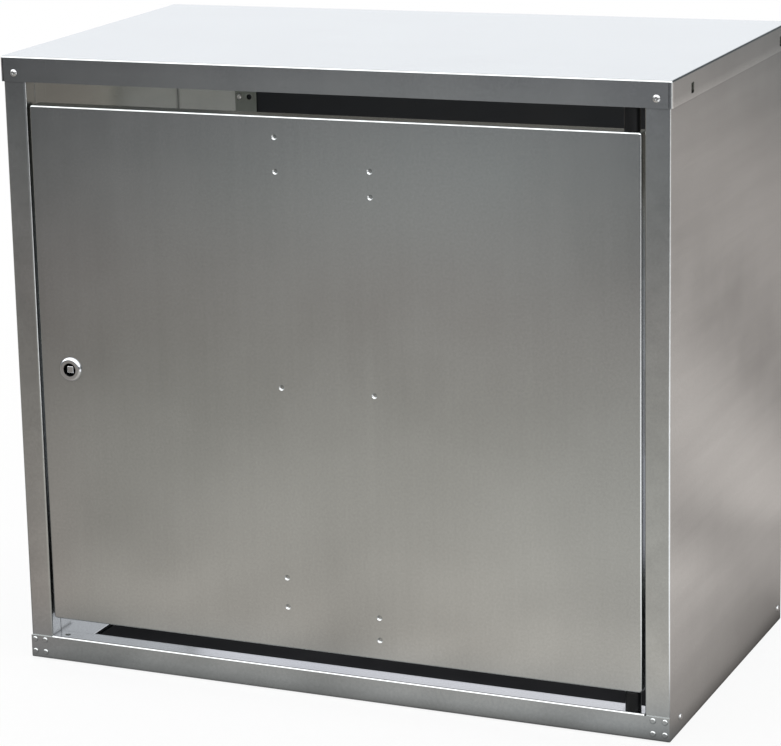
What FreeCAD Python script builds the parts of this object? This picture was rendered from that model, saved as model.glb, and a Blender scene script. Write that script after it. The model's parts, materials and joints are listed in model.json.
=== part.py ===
import FreeCAD, Part
import os
import re
import Sketcher

# Gas cylinder cabinet of folded galvanised sheet: two side panels whose front edges form the posts,
# a back panel, a lid-like roof, a base rail and floor tray, and one door hung on pivots at the right.
# Millimetres, +X to the right, +Y to the back, +Z up, origin on the ground under the middle.

doc = FreeCAD.newDocument("GasCylinderCabinet")
sheet_object = doc.addObject("Spreadsheet::Sheet", "Sizes")

# Driving sizes: name, value and what it measures.
driving_sizes = (
    ("body_width", 700, "outside of one side panel to the other"),
    ("body_depth", 390, "front of the posts to the back flanges"),
    ("body_height", 642, "ground to the roof's top"),
    ("sheet", 1.5, "thickness of the galvanised sheet"),
    ("bend_radius", 2, "outside radius of a fold"),
    ("corner_radius", 3, "rounded corner where two folds meet"),
    ("joint_gap", 0.2, "fit between two sheets that lie edge to edge"),
    ("roof_fit", 0.7, "gap between the roof's folded edge and the body"),
    ("fascia_height", 26, "height of the roof's folded edge"),
    ("corner_seam", 0.6, "gap between the roof's folded edges at a corner"),
    ("post_width", 25, "front face of a post"),
    ("post_return", 18, "depth of a post's folded-in edge"),
    ("channel_depth", 25, "post channel, front to back"),
    ("channel_gap", 1.5, "gap between a post's edge and its channel"),
    ("channel_setback", 1, "channel face behind the post's inner face"),
    ("rear_flange", 25, "fold of a side panel along the back"),
    ("top_flange", 20, "fold of a side panel under the roof"),
    ("base_flange", 24.5, "fold of a side panel on the ground"),
    ("rail_height", 26, "front rail and floor rim above the ground"),
    ("rail_flange", 20, "folds of the front rail, front to back"),
    ("header_flange", 20, "fold of the header rail, front to back"),
    ("header_tab_gap", 3, "header's end tabs below the roof"),
    ("clinch_radius", 3, "pressed button on the rail's end tab"),
    ("clinch_rise", 1.3, "height of a pressed button"),
    ("clinch_pitch_x", 12, "buttons, side to side"),
    ("clinch_low", 7.15, "lower buttons above the ground"),
    ("clinch_drop", 4.15, "upper buttons below the tab's top"),
    ("clinch_inset", 10.5, "middle of the four buttons from the side"),
    ("rim_left", 62, "floor recess from the body's left side"),
    ("rim_right", 30, "floor recess from the body's right side"),
    ("recess_depth", 10, "floor recess below the rim"),
    ("rim_rear", 45, "floor recess from the body's back"),
    ("mat_thickness", 6, "rubber mat"),
    ("mat_fit", 0.5, "gap round the rubber mat"),
    ("mat_corner", 6, "rounded corners of the mat"),
    ("door_gap", 3, "gap on each side of the door"),
    ("door_bottom_gap", 20, "air gap under the door"),
    ("door_top_gap", 23.5, "air gap over the door"),
    ("door_fold", 18, "door, front to back"),
    ("door_lip", 12, "folded lip along the door's upright edges"),
    ("hinge_inset", 11, "hinge axis from the door's right edge"),
    ("hinge_setback", 8, "hinge axis behind the door's front"),
    ("bolt_radius", 3, "hinge bolt"),
    ("bolt_head_flats", 10, "hinge bolt and nut across flats"),
    ("bolt_head_height", 4, "hinge bolt's head"),
    ("bolt_tail", 2, "bolt beyond its nut"),
    ("nut_height", 5, "hinge nut"),
    ("washer_radius", 6, "hinge washer"),
    ("washer_thickness", 1.6, "hinge washer"),
    ("bush_radius", 7.75, "spacer bush round a hinge bolt"),
    ("bush_edge", 0.8, "rounded ends of a spacer bush"),
    ("running_fit", 0.05, "radial clearance of what turns or is riveted"),
    ("loose_fit", 0.5, "radial clearance of a bolt in a sheet"),
    ("turning_gap", 0.3, "end clearance of what turns"),
    ("pivot_plate", 3, "thickness of the plates that carry the door"),
    ("pivot_plate_length", 50, "length of the plates that carry the door"),
    ("stiffener_joint_x", 50, "pressed joints of the door stiffener from the middle, sideways"),
    ("stiffener_flange", 24, "foot of the door stiffener"),
    ("stiffener_depth", 13, "door stiffener, front to back"),
    ("stiffener_end_gap", 6, "door stiffener's ends from the door's folds"),
    ("row_outer", 20.75, "outermost joints from the door's end"),
    ("row_lower", 44.25, "second joints from the door's lower end"),
    ("row_upper", 55, "second joint at the left from the door's upper end"),
    ("row_upper_right", 50, "first joint at the right from the door's upper end"),
    ("row_inner", 75.25, "innermost joints from the door's end"),
    ("dimple_floor", 1.5, "radius of a pressed joint's floor"),
    ("dimple_flare", 1.3, "sloping wall of a pressed joint"),
    ("dimple_depth", 1.8, "pressed joint below the door's face"),
    ("dimple_plug", 2.9, "radius of the skin pressed into the stiffener"),
    ("dimple_plug_length", 1, "length of the skin pressed into the stiffener"),
    ("dimple_button", 4, "radius of a pressed joint's button inside the door"),
    ("dimple_button_rise", 0.8, "height of a pressed joint's button inside the door"),
    ("rivet_head", 3.7, "blind rivet head radius"),
    ("rivet_rise", 1.3, "blind rivet head height"),
    ("rivet_shank", 2, "blind rivet shank radius"),
    ("rivet_tail", 2.7, "blind rivet set end radius"),
    ("rivet_tail_length", 3, "blind rivet set end length"),
    ("rivet_pit", 1.2, "blind rivet hollow radius"),
    ("rivet_pit_depth", 0.7, "blind rivet hollow depth"),
    ("fascia_rivet_inset", 13, "roof rivets from the body's side"),
    ("fascia_rivet_drop", 17, "roof rivets below the roof's top"),
    ("side_hole_inset", 60, "front upright slots in the roof's side edges from the body's front"),
    ("side_hole_rear_inset", 30, "rear ones from the body's back"),
    ("side_hole_drop", 16, "middle of these slots below the roof's top"),
    ("side_hole_width", 8.4, "these slots from front to back"),
    ("side_hole_height", 10, "these slots"),
    ("base_rivet_inset", 34, "front side rivets near the ground from the body's front"),
    ("base_rivet_rear_inset", 12, "rear ones from the body's back"),
    ("base_rivet_z", 14, "side rivets above the ground"),
    ("back_rivet_count", 5, "rivets up each side of the back"),
    ("back_rivet_low", 60, "lowest back rivet above the ground"),
    ("back_rivet_drop", 36, "highest back rivet below the roof's folded edge"),
    ("wall_hole_inset", 60, "wall fixing holes from the body's sides"),
    ("wall_hole_low", 150, "lower wall fixing holes above the ground"),
    ("wall_hole_drop", 72, "upper wall fixing holes below the roof's top"),
    ("wall_hole_radius", 4.5, "wall fixing holes"),
    ("service_inset", 100, "service opening in the back from the body's sides"),
    ("service_drop", 52, "service opening below the roof's top"),
    ("service_height", 140, "service opening"),
    ("strip_width", 26, "strips beside the service opening"),
    ("strip_overrun", 10, "strips beyond the opening, up and down"),
    ("strip_rivet_x", 21.5, "strip rivets from the opening's edge"),
    ("strip_rivet_rise", 15, "lower strip rivet above the opening's lower edge"),
    ("strip_rivet_drop", 49, "upper strip rivet below the opening's upper edge"),
    ("strip_hole_x", 9, "spare holes from the opening's edge"),
    ("strip_hole_radius", 3, "spare holes"),
    ("cover_lap", 30, "black cover beyond the opening, sideways"),
    ("cover_lap_z", 20, "black cover beyond the opening, up and down"),
    ("hose_radius", 10, "bore of the hose grommet"),
    ("grommet_seat", 15, "hole that the grommet sits in"),
    ("grommet_flange", 19, "grommet outside"),
    ("grommet_lip", 2, "grommet on each side of the cover"),
    ("hose_rise", 30, "hose grommet above the opening's lower edge"),
    ("lock_inset", 34, "lock from the door's left edge"),
    ("lock_flange_radius", 12.5, "lock's chrome ring"),
    ("lock_flange_rise", 3, "lock's chrome ring"),
    ("lock_flange_edge", 2.8, "rounded edge of the ring"),
    ("lock_body_radius", 9.5, "lock housing through the door"),
    ("lock_nut_flats", 26, "lock nut across flats"),
    ("lock_nut_height", 5, "lock nut"),
    ("plug_radius", 7, "turning plug"),
    ("plug_recess", 8, "plug's face behind the ring's face"),
    ("key_square", 7, "square on the plug that the key fits over"),
    ("key_square_drop", 1.5, "end of that square behind the ring's face"),
    ("tenon_size", 8, "square end of the plug"),
    ("cam_thickness", 3, "lock cam"),
    ("cam_width", 14, "lock cam"),
    ("cam_reach", 48, "lock cam from the plug's axis to its tip"),
    ("cam_screw_head", 6, "cam screw head radius"),
    ("cam_screw_rise", 3.5, "cam screw head height"),
    ("cam_screw_shank", 2.5, "cam screw"),
    ("cam_screw_length", 12, "cam screw in the plug"),
    ("cam_setback", 4.8, "lock cam behind the post channel's front"),
    ("latch_fit", 1.5, "gap on each side of the cam in the channel's slot"),
    ("latch_trim", 6, "slot's ends short of the cam's reach, up and down"),
)

for row, (alias, value, note) in enumerate(driving_sizes, start=1):
    sheet_object.set(f"A{row}", note)
    sheet_object.set(f"B{row}", str(value))
    sheet_object.setAlias(f"B{row}", alias)
doc.recompute()

# Places worked out from the driving sizes.
derived_sizes = {
    "half_width": "body_width / 2",
    "half_depth": "body_depth / 2",
    "front": "-half_depth",
    "wall_inside": "half_width - sheet",
    "roof_under": "body_height - sheet",
    "roof_half_width": "half_width + roof_fit + sheet",
    "roof_half_depth": "half_depth + roof_fit + sheet",
    "fascia_low": "body_height - fascia_height",
    "opening_half": "half_width - post_width",
    "channel_face": "opening_half + channel_setback",
    "channel_front": "front + post_return + channel_gap",
    "channel_rear": "channel_front + channel_depth",
    "rail_front": "front - sheet",
    "rail_half": "opening_half - joint_gap",
    "back_inside": "half_depth - 2 * sheet",
    "back_outside": "half_depth - sheet",
    "back_half": "wall_inside - joint_gap",
    "floor_front": "rail_front + rail_flange + joint_gap",
    "floor_rear": "back_inside - joint_gap",
    "recess_left": "rim_left - half_width",
    "recess_right": "half_width - rim_right",
    "recess_rear": "half_depth - rim_rear",
    "recess_floor": "rail_height - recess_depth",
    "mat_left": "recess_left + sheet + mat_fit",
    "mat_right": "recess_right - sheet - mat_fit",
    "mat_front": "floor_front + sheet + mat_fit",
    "mat_rear": "recess_rear - sheet - mat_fit",
    "door_half": "opening_half - door_gap",
    "door_low": "rail_height + door_bottom_gap",
    "door_high": "fascia_low - door_top_gap",
    "door_middle": "(door_low + door_high) / 2",
    "door_skin": "front + sheet",
    "door_rear": "front + door_fold",
    "hinge_x": "door_half - hinge_inset",
    "hinge_y": "front + hinge_setback",
    "pivot_top": "door_high - sheet - pivot_plate",
    "pivot_bottom": "door_low + sheet + pivot_plate",
    "hex_radius": "bolt_head_flats / 2 / cos(30)",
    "service_half": "half_width - service_inset",
    "service_high": "body_height - service_drop",
    "service_low": "service_high - service_height",
    "strip_low": "service_low - strip_overrun",
    "strip_length": "service_height + 2 * strip_overrun",
    "fascia_rivet_x": "half_width - fascia_rivet_inset",
    "fascia_rivet_z": "body_height - fascia_rivet_drop",
    "side_hole_front": "side_hole_inset - half_depth",
    "side_hole_rear": "half_depth - side_hole_rear_inset",
    "side_hole_z": "body_height - side_hole_drop",
    "base_rivet_front": "base_rivet_inset - half_depth",
    "base_rivet_rear": "half_depth - base_rivet_rear_inset",
    "back_rivet_x": "half_width - rear_flange / 2",
    "back_rivet_pitch": "(fascia_low - back_rivet_drop - back_rivet_low) / (back_rivet_count - 1)",
    "wall_hole_x": "half_width - wall_hole_inset",
    "hose_z": "service_low + hose_rise",
    "lock_x": "-door_half + lock_inset",
    "cam_front": "channel_front + cam_setback",
    "cam_rear": "cam_front + cam_thickness",
    "lock_body_length": "cam_front - turning_gap - front",
    "header_rivet_y": "front + header_flange / 2",
    "header_tab_top": "roof_under - header_tab_gap",
    "header_rivet_z": "(fascia_low + sheet + header_tab_top) / 2",
}
aliases = {alias for alias, value, note in driving_sizes}


def bound(text):
    """Write a sum of named sizes as an expression on the sheet's cells."""
    def swap(match):
        word = match.group()
        if word in derived_sizes:
            return "(" + bound(derived_sizes[word]) + ")"
        return "Sizes." + word if word in aliases else word
    return re.sub(r"[a-z_]+", swap, text)


def measure(text):
    return float(sheet_object.evalExpression(bound(text)))


# Each plane's own axes, and whether its normal runs against the world axis it stands on.
plane_roles = {"XY": ("XY_Plane", False), "XZ": ("XZ_Plane", True), "YZ": ("YZ_Plane", False)}
nodes = {}


def new_body(label, is_node=True):
    body = doc.addObject("PartDesign::Body", label)
    body.Label = label
    if is_node:
        nodes[label] = body
    return body


def new_sketch(body, name, plane, level):
    role, flipped = plane_roles[plane]
    sketch = body.newObject("Sketcher::SketchObject", name)
    support = next(part for part in body.Origin.OriginFeatures if part.Role == role)
    sketch.AttachmentSupport = (support, [""])
    sketch.MapMode = "FlatFace"
    sketch.setExpression("AttachmentOffset.Base.z", bound(f"-({level})" if flipped else level))
    return sketch


def pin_point(sketch, geometry, corner, place):
    """Tie one point of a sketch to a pair of named places."""
    for kind, axis, text in (("DistanceX", -2, place[0]), ("DistanceY", -1, place[1])):
        value = measure(text)
        if abs(value) < 1e-9:
            sketch.addConstraint(Sketcher.Constraint("PointOnObject", geometry, corner, axis))
            continue
        index = sketch.addConstraint(Sketcher.Constraint(kind, geometry, corner, value))
        sketch.setExpression(f"Constraints[{index}]", bound(text))


def draw_outline(sketch, points):
    corners = [FreeCAD.Vector(measure(u), measure(v), 0) for u, v in points]
    ends = corners[1:] + corners[:1]
    lines = [sketch.addGeometry(Part.LineSegment(a, b)) for a, b in zip(corners, ends)]
    for line, following in zip(lines, lines[1:] + lines[:1]):
        sketch.addConstraint(Sketcher.Constraint("Coincident", line, 2, following, 1))
    for line, place in zip(lines, points):
        pin_point(sketch, line, 1, place)


def draw_circles(sketch, centres, radius):
    for centre in centres:
        middle = FreeCAD.Vector(measure(centre[0]), measure(centre[1]), 0)
        ring = Part.Circle(middle, FreeCAD.Vector(0, 0, 1), measure(radius))
        circle = sketch.addGeometry(ring)
        index = sketch.addConstraint(Sketcher.Constraint("Radius", circle, measure(radius)))
        sketch.setExpression(f"Constraints[{index}]", bound(radius))
        pin_point(sketch, circle, 3, centre)


def box_outline(low_u, low_v, high_u, high_v):
    return [(low_u, low_v), (high_u, low_v), (high_u, high_v), (low_u, high_v)]


def hexagon(centre_u, centre_v, radius):
    turns = range(0, 360, 60)
    return [(f"{centre_u} + {radius} * cos({a})", f"{centre_v} + {radius} * sin({a})") for a in turns]


def extrude(kind, body, name, plane, start, length, outlines=(), circles=(), radius=None):
    """Add or cut a prism that starts at a level and runs the plus way along its axis."""
    before = body.Tip.Shape.Volume if body.Tip else 0.0
    sketch = new_sketch(body, name + "Sketch", plane, start)
    for points in outlines:
        draw_outline(sketch, points)
    draw_circles(sketch, circles, radius)
    doc.recompute()
    feature = body.newObject("PartDesign::" + kind, name)
    feature.Profile = (sketch, [""])
    feature.setExpression("Length", bound(length))
    feature.Reversed = plane_roles[plane][1] == (kind == "Pad")
    doc.recompute()
    change = feature.Shape.Volume - before
    if (change <= 0) == (kind == "Pad"):
        raise RuntimeError(f"{body.Label}: {name} changed nothing")
    return feature


def pad(body, name, plane, start, length, *outlines):
    return extrude("Pad", body, name, plane, start, length, outlines)


def pad_round(body, name, plane, start, length, radius, centres):
    return extrude("Pad", body, name, plane, start, length, (), centres, radius)


def cut(body, name, plane, start, length, *outlines):
    return extrude("Pocket", body, name, plane, start, length, outlines)


def drill(body, name, plane, start, length, radius, centres):
    return extrude("Pocket", body, name, plane, start, length, (), centres, radius)


def edges_at(shape, **places):
    """Names of the edges whose ends all lie at the given x, y or z places."""
    wanted = {axis: measure(text) for axis, text in places.items()}
    found = []
    for number, edge in enumerate(shape.Edges, start=1):
        ends = [vertex.Point for vertex in edge.Vertexes]
        if all(abs(getattr(end, axis) - value) < 1e-4 for end in ends for axis, value in wanted.items()):
            found.append(f"Edge{number}")
    return found


def dress_edges(kind, setting, body, name, size, places):
    base = body.Tip
    names = sorted({edge for place in places for edge in edges_at(base.Shape, **place)})
    if not names:
        raise RuntimeError(f"{body.Label}: {name} found no edge")
    feature = body.newObject("PartDesign::" + kind, name)
    feature.Base = (base, names)
    feature.setExpression(setting, bound(size))
    doc.recompute()
    return feature


def round_edges(body, name, radius, *places):
    return dress_edges("Fillet", "Radius", body, name, radius, places)


def bevel_edges(body, name, size, *places):
    return dress_edges("Chamfer", "Size", body, name, size, places)


def revolve(body, name, points):
    """Turn an outline of (radius, height) places about the body's own Z axis."""
    sketch = new_sketch(body, name + "Sketch", "XZ", "0")
    draw_outline(sketch, points)
    doc.recompute()
    feature = body.newObject("PartDesign::Revolution", name)
    feature.Profile = (sketch, [""])
    feature.ReferenceAxis = (sketch, ["V_Axis"])
    feature.Angle = 360
    doc.recompute()
    return feature


def group(label, master, places, turn=FreeCAD.Rotation()):
    """One node of equal pieces: the master shape at each place, turned to its axis."""
    copies = []
    for number, (x, y, z, *own_turn) in enumerate(places, start=1):
        copy = doc.addObject("App::Link", f"{label}_{number}")
        copy.LinkedObject = master
        copy.Placement = FreeCAD.Placement(FreeCAD.Vector(), own_turn[0] if own_turn else turn)
        for axis, text in zip("xyz", (x, y, z)):
            copy.setExpression(f"Placement.Base.{axis}", bound(text))
        copies.append(copy)
    compound = doc.addObject("Part::Compound", label)
    compound.Links = copies
    compound.Label = label
    nodes[label] = compound


def mirrored(points, side):
    return [(f"{side} * ({u})", v) for u, v in points]


def span(side, near, far):
    """Ends of a stretch beside the middle, low end first."""
    return (near, far) if side > 0 else (f"-({far})", f"-({near})")


# Directions in which a rivet's head can face.
faces_up = FreeCAD.Rotation()
faces_front = FreeCAD.Rotation(FreeCAD.Vector(1, 0, 0), 90)
faces_back = FreeCAD.Rotation(FreeCAD.Vector(1, 0, 0), -90)
faces_right = FreeCAD.Rotation(FreeCAD.Vector(0, 1, 0), 90)
faces_left = FreeCAD.Rotation(FreeCAD.Vector(0, 1, 0), -90)
both_sides = (("left", -1), ("right", 1))

# Places that rivets or pressed joints and the sheets under them share.
fascia_rivets = [("-fascia_rivet_x", "fascia_rivet_z"), ("fascia_rivet_x", "fascia_rivet_z")]
slot_rise = "side_hole_height / 2"
slot_reach = "side_hole_width / 2"
side_slots = [
    box_outline(
        f"{y} - {slot_reach}", f"side_hole_z - {slot_rise}",
        f"{y} + {slot_reach}", f"side_hole_z + {slot_rise}",
    )
    for y in ("side_hole_front", "side_hole_rear")
]
base_rivets = [(y, "base_rivet_z") for y in ("base_rivet_front", "base_rivet_rear")]
back_rivet_rows = range(int(measure("back_rivet_count")))
back_rivet_heights = [f"back_rivet_low + {row} * back_rivet_pitch" for row in back_rivet_rows]
strip_rivet_heights = ("service_low + strip_rivet_rise", "service_high - strip_rivet_drop")
strip_sides = [f"{side} * (service_half + strip_rivet_x)" for side in (-1, 1)]
strip_rivets = [(x, z) for x in strip_sides for z in strip_rivet_heights]
pivots = [("-hinge_x", "hinge_y"), ("hinge_x", "hinge_y")]
door_joints = [
    ("-stiffener_joint_x", "door_high - row_outer"),
    ("-stiffener_joint_x", "door_high - row_upper"),
    ("-stiffener_joint_x", "door_middle"),
    ("-stiffener_joint_x", "door_low + row_inner"),
    ("-stiffener_joint_x", "door_low + row_lower"),
    ("stiffener_joint_x", "door_high - row_upper_right"),
    ("stiffener_joint_x", "door_high - row_inner"),
    ("stiffener_joint_x", "door_middle"),
    ("stiffener_joint_x", "door_low + row_lower"),
    ("stiffener_joint_x", "door_low + row_outer"),
]


def side_panel(name, side):
    """Side wall folded in at the front to a post, and in at the back, roof and ground."""
    body = new_body(f"{name}_side_panel")
    plan = [
        ("opening_half", "front"),
        ("half_width", "front"),
        ("half_width", "half_depth"),
        ("half_width - rear_flange", "half_depth"),
        ("half_width - rear_flange", "back_outside"),
        ("wall_inside", "back_outside"),
        ("wall_inside", "door_skin"),
        ("opening_half + sheet", "door_skin"),
        ("opening_half + sheet", "front + post_return"),
        ("opening_half", "front + post_return"),
    ]
    pad(body, "Wall", "XY", "0", "roof_under", mirrored(plan, side))
    round_edges(
        body, "UprightFolds", "bend_radius",
        {"x": f"{side} * half_width", "y": "front"},
        {"x": f"{side} * opening_half", "y": "front"},
        {"x": f"{side} * half_width", "y": "half_depth"},
    )
    roof_fold = box_outline("half_width - top_flange", "door_skin", "wall_inside", "back_outside")
    base_fold = box_outline("half_width - base_flange", "door_skin", "wall_inside", "back_outside")
    pad(body, "RoofFold", "XY", "roof_under - sheet", "sheet", mirrored(roof_fold, side))
    pad(body, "BaseFold", "XY", "0", "sheet", mirrored(base_fold, side))
    post_hole = [(f"{side} * fascia_rivet_x", "fascia_rivet_z")]
    drill(body, "RoofRivetHole", "XZ", "front", "sheet", "rivet_shank + running_fit", post_hole)
    back_holes = [(f"{side} * back_rivet_x", z) for z in back_rivet_heights + ["fascia_rivet_z"]]
    drill(body, "BackRivetHoles", "XZ", "back_outside", "sheet", "rivet_shank + running_fit", back_holes)
    wall_low = span(side, "wall_inside", "half_width")[0]
    drill(body, "BaseRivetHoles", "YZ", wall_low, "sheet", "rivet_shank + running_fit", base_rivets)
    cut(body, "SideSlots", "YZ", wall_low, "sheet", *side_slots)
    return_low = span(side, "opening_half", "opening_half + sheet")[0]
    header_hole = [("header_rivet_y", "header_rivet_z")]
    drill(body, "HeaderHole", "YZ", return_low, "sheet", "rivet_shank + running_fit", header_hole)


def post_channel(name, side):
    """Upright channel behind a post, with the slot that the lock's cam turns into."""
    body = new_body(f"{name}_post_channel")
    plan = [
        ("channel_face", "channel_front"),
        ("wall_inside", "channel_front"),
        ("wall_inside", "channel_front + sheet"),
        ("channel_face + sheet", "channel_front + sheet"),
        ("channel_face + sheet", "channel_rear - sheet"),
        ("wall_inside", "channel_rear - sheet"),
        ("wall_inside", "channel_rear"),
        ("channel_face", "channel_rear"),
    ]
    height = "roof_under - sheet - joint_gap - rail_height"
    pad(body, "Channel", "XY", "rail_height", height, mirrored(plan, side))
    face_edges = [{"x": f"{side} * channel_face", "y": y} for y in ("channel_front", "channel_rear")]
    round_edges(body, "Folds", "bend_radius", *face_edges)
    slot = box_outline(
        "cam_front - latch_fit", "door_middle - (cam_reach - latch_trim)",
        "cam_rear + latch_fit", "door_middle + (cam_reach - latch_trim)",
    )
    slot_low = span(side, "channel_face", "channel_face + sheet")[0]
    cut(body, "LatchSlot", "YZ", slot_low, "sheet", slot)


def back_panel():
    body = new_body("back_panel")
    whole = box_outline("-back_half", "sheet", "back_half", "roof_under - sheet")
    opening = box_outline("-service_half", "service_low", "service_half", "service_high")
    pad(body, "Panel", "XZ", "back_inside", "sheet", whole)
    cut(body, "ServiceOpening", "XZ", "back_inside", "sheet", opening)
    wall_heights = ("wall_hole_low", "body_height - wall_hole_drop")
    wall_holes = [(f"{side} * wall_hole_x", z) for side in (-1, 1) for z in wall_heights]
    drill(body, "WallHoles", "XZ", "back_inside", "sheet", "wall_hole_radius", wall_holes)
    heights = back_rivet_heights + ["fascia_rivet_z"]
    flange_holes = [(f"{side} * back_rivet_x", z) for side in (-1, 1) for z in heights]
    places = flange_holes + strip_rivets
    drill(body, "RivetHoles", "XZ", "back_inside", "sheet", "rivet_shank + running_fit", places)
    spare_holes = [(f"{side} * (service_half + strip_hole_x)", strip_rivet_heights[1]) for side in (-1, 1)]
    drill(body, "SpareHoles", "XZ", "back_inside", "sheet", "strip_hole_radius", spare_holes)


def opening_strip(name, side):
    """Upright strip that stiffens one edge of the service opening."""
    body = new_body(f"{name}_opening_strip")
    low, high = span(side, "service_half", "service_half + strip_width")
    outline = box_outline(low, "strip_low", high, "strip_low + strip_length")
    pad(body, "Strip", "XZ", "back_inside - sheet", "sheet", outline)
    rivets = [(f"{side} * (service_half + strip_rivet_x)", z) for z in strip_rivet_heights]
    drill(body, "RivetHoles", "XZ", "back_inside - sheet", "sheet", "rivet_shank + running_fit", rivets)
    spare = [(f"{side} * (service_half + strip_hole_x)", strip_rivet_heights[1])]
    drill(body, "SpareHole", "XZ", "back_inside - sheet", "sheet", "strip_hole_radius", spare)


def service_cover():
    """Black sheet behind the service opening, with the hole for the hose grommet."""
    body = new_body("service_cover")
    outline = box_outline(
        "-(service_half + cover_lap)", "service_low - cover_lap_z",
        "service_half + cover_lap", "service_high + cover_lap_z",
    )
    pad(body, "Cover", "XZ", "back_outside", "sheet", outline)
    drill(body, "RivetHoles", "XZ", "back_outside", "sheet", "rivet_shank + running_fit", strip_rivets)
    drill(body, "HoseHole", "XZ", "back_outside", "sheet", "grommet_seat", [("0", "hose_z")])


def hose_grommet():
    """Rubber ring that grips the edge of the hose hole between two lips."""
    body = new_body("hose_grommet")
    place = [("0", "hose_z")]
    pad_round(body, "Seat", "XZ", "back_outside", "sheet", "grommet_seat - running_fit", place)
    pad_round(body, "InnerLip", "XZ", "back_outside - grommet_lip", "grommet_lip", "grommet_flange", place)
    pad_round(body, "OuterLip", "XZ", "half_depth", "grommet_lip", "grommet_flange", place)
    drill(body, "Bore", "XZ", "back_outside - grommet_lip", "sheet + 2 * grommet_lip", "hose_radius", place)


def roof_cover():
    """Flat lid with its four edges folded down over the body and a seam at each corner."""
    body = new_body("roof_cover")
    outside = box_outline("-roof_half_width", "-roof_half_depth", "roof_half_width", "roof_half_depth")
    inside = box_outline(
        "-(roof_half_width - sheet)", "-(roof_half_depth - sheet)",
        "roof_half_width - sheet", "roof_half_depth - sheet",
    )
    pad(body, "Lid", "XY", "fascia_low", "fascia_height", outside)
    cut(body, "Hollow", "XY", "fascia_low", "fascia_height - sheet", inside)
    ends = [f"{i} * roof_half_width" for i in (-1, 1)]
    corners = [{"x": x, "y": f"{j} * roof_half_depth"} for x in ends for j in (-1, 1)]
    round_edges(body, "Corners", "corner_radius", *corners)
    round_edges(body, "Folds", "bend_radius", {"z": "body_height"})
    shank = "rivet_shank + running_fit"
    seam_end = "roof_half_width - corner_radius"
    seam = box_outline(f"{seam_end} - corner_seam", "fascia_low", seam_end, "body_height - bend_radius")
    seams = [mirrored(seam, i) for i in (-1, 1)]
    cut(body, "FrontSeams", "XZ", "-roof_half_depth", "sheet", *seams)
    cut(body, "RearSeams", "XZ", "roof_half_depth - sheet", "sheet", *seams)
    drill(body, "FrontRivetHoles", "XZ", "-roof_half_depth", "sheet", shank, fascia_rivets)
    rear_rivets = [(f"{side} * back_rivet_x", "fascia_rivet_z") for side in (-1, 1)]
    drill(body, "RearRivetHoles", "XZ", "roof_half_depth - sheet", "sheet", shank, rear_rivets)
    cut(body, "RightSlots", "YZ", "roof_half_width - sheet", "sheet", *side_slots)
    cut(body, "LeftSlots", "YZ", "-roof_half_width", "sheet", *side_slots)


def header_rail():
    """Angle behind the roof's front edge that carries the top hinge, with a tab at each post."""
    body = new_body("header_rail")
    angle = [
        ("front", "fascia_low"),
        ("front + header_flange", "fascia_low"),
        ("front + header_flange", "fascia_low + sheet"),
        ("door_skin", "fascia_low + sheet"),
        ("door_skin", "roof_under - joint_gap"),
        ("front", "roof_under - joint_gap"),
    ]
    pad(body, "Angle", "YZ", "-opening_half", "2 * opening_half", angle)
    tab = box_outline("door_skin", "fascia_low + sheet", "front + post_return", "header_tab_top")
    hole = [("header_rivet_y", "header_rivet_z")]
    for name, side in both_sides:
        low = span(side, "opening_half - sheet", "opening_half")[0]
        pad(body, f"{name}Tab", "YZ", low, "sheet", tab)
        drill(body, f"{name}TabHole", "YZ", low, "sheet", "rivet_shank + running_fit", hole)
    drill(body, "PivotHoles", "XY", "fascia_low", "sheet", "bolt_radius + running_fit", pivots)


def base_front_rail():
    """Channel across the front on the ground; its ends lap the posts and are clinched to them."""
    body = new_body("base_front_rail")
    web = box_outline("-half_width", "0", "half_width", "rail_height")
    pad(body, "Web", "XZ", "rail_front", "sheet", web)
    flange = box_outline("-rail_half", "front", "rail_half", "rail_front + rail_flange")
    pad(body, "TopFold", "XY", "rail_height - sheet", "sheet", flange)
    pad(body, "GroundFold", "XY", "0", "sheet", flange)
    tab = box_outline("rail_half", "rail_height - sheet", "half_width", "rail_height")
    tabs = [mirrored(tab, i) for i in (-1, 1)]
    cut(body, "TabTops", "XZ", "rail_front", "sheet", *tabs)
    folds = [{"y": "rail_front", "z": z} for z in ("rail_height", "0")]
    round_edges(body, "FrontFolds", "bend_radius", *folds)
    middle_x = "half_width - clinch_inset"
    button_heights = ("clinch_low", "rail_height - sheet - clinch_drop")
    buttons = [
        (f"{side} * ({middle_x} + {i} * clinch_pitch_x / 2)", z)
        for side in (-1, 1) for i in (-1, 1) for z in button_heights
    ]
    pad_round(body, "Clinches", "XZ", "rail_front - clinch_rise", "clinch_rise", "clinch_radius", buttons)
    round_edges(body, "ClinchDomes", "clinch_rise * 0.95", {"y": "rail_front - clinch_rise"})
    drill(body, "PivotHoles", "XY", "rail_height - sheet", "sheet", "bolt_radius + running_fit", pivots)


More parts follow.
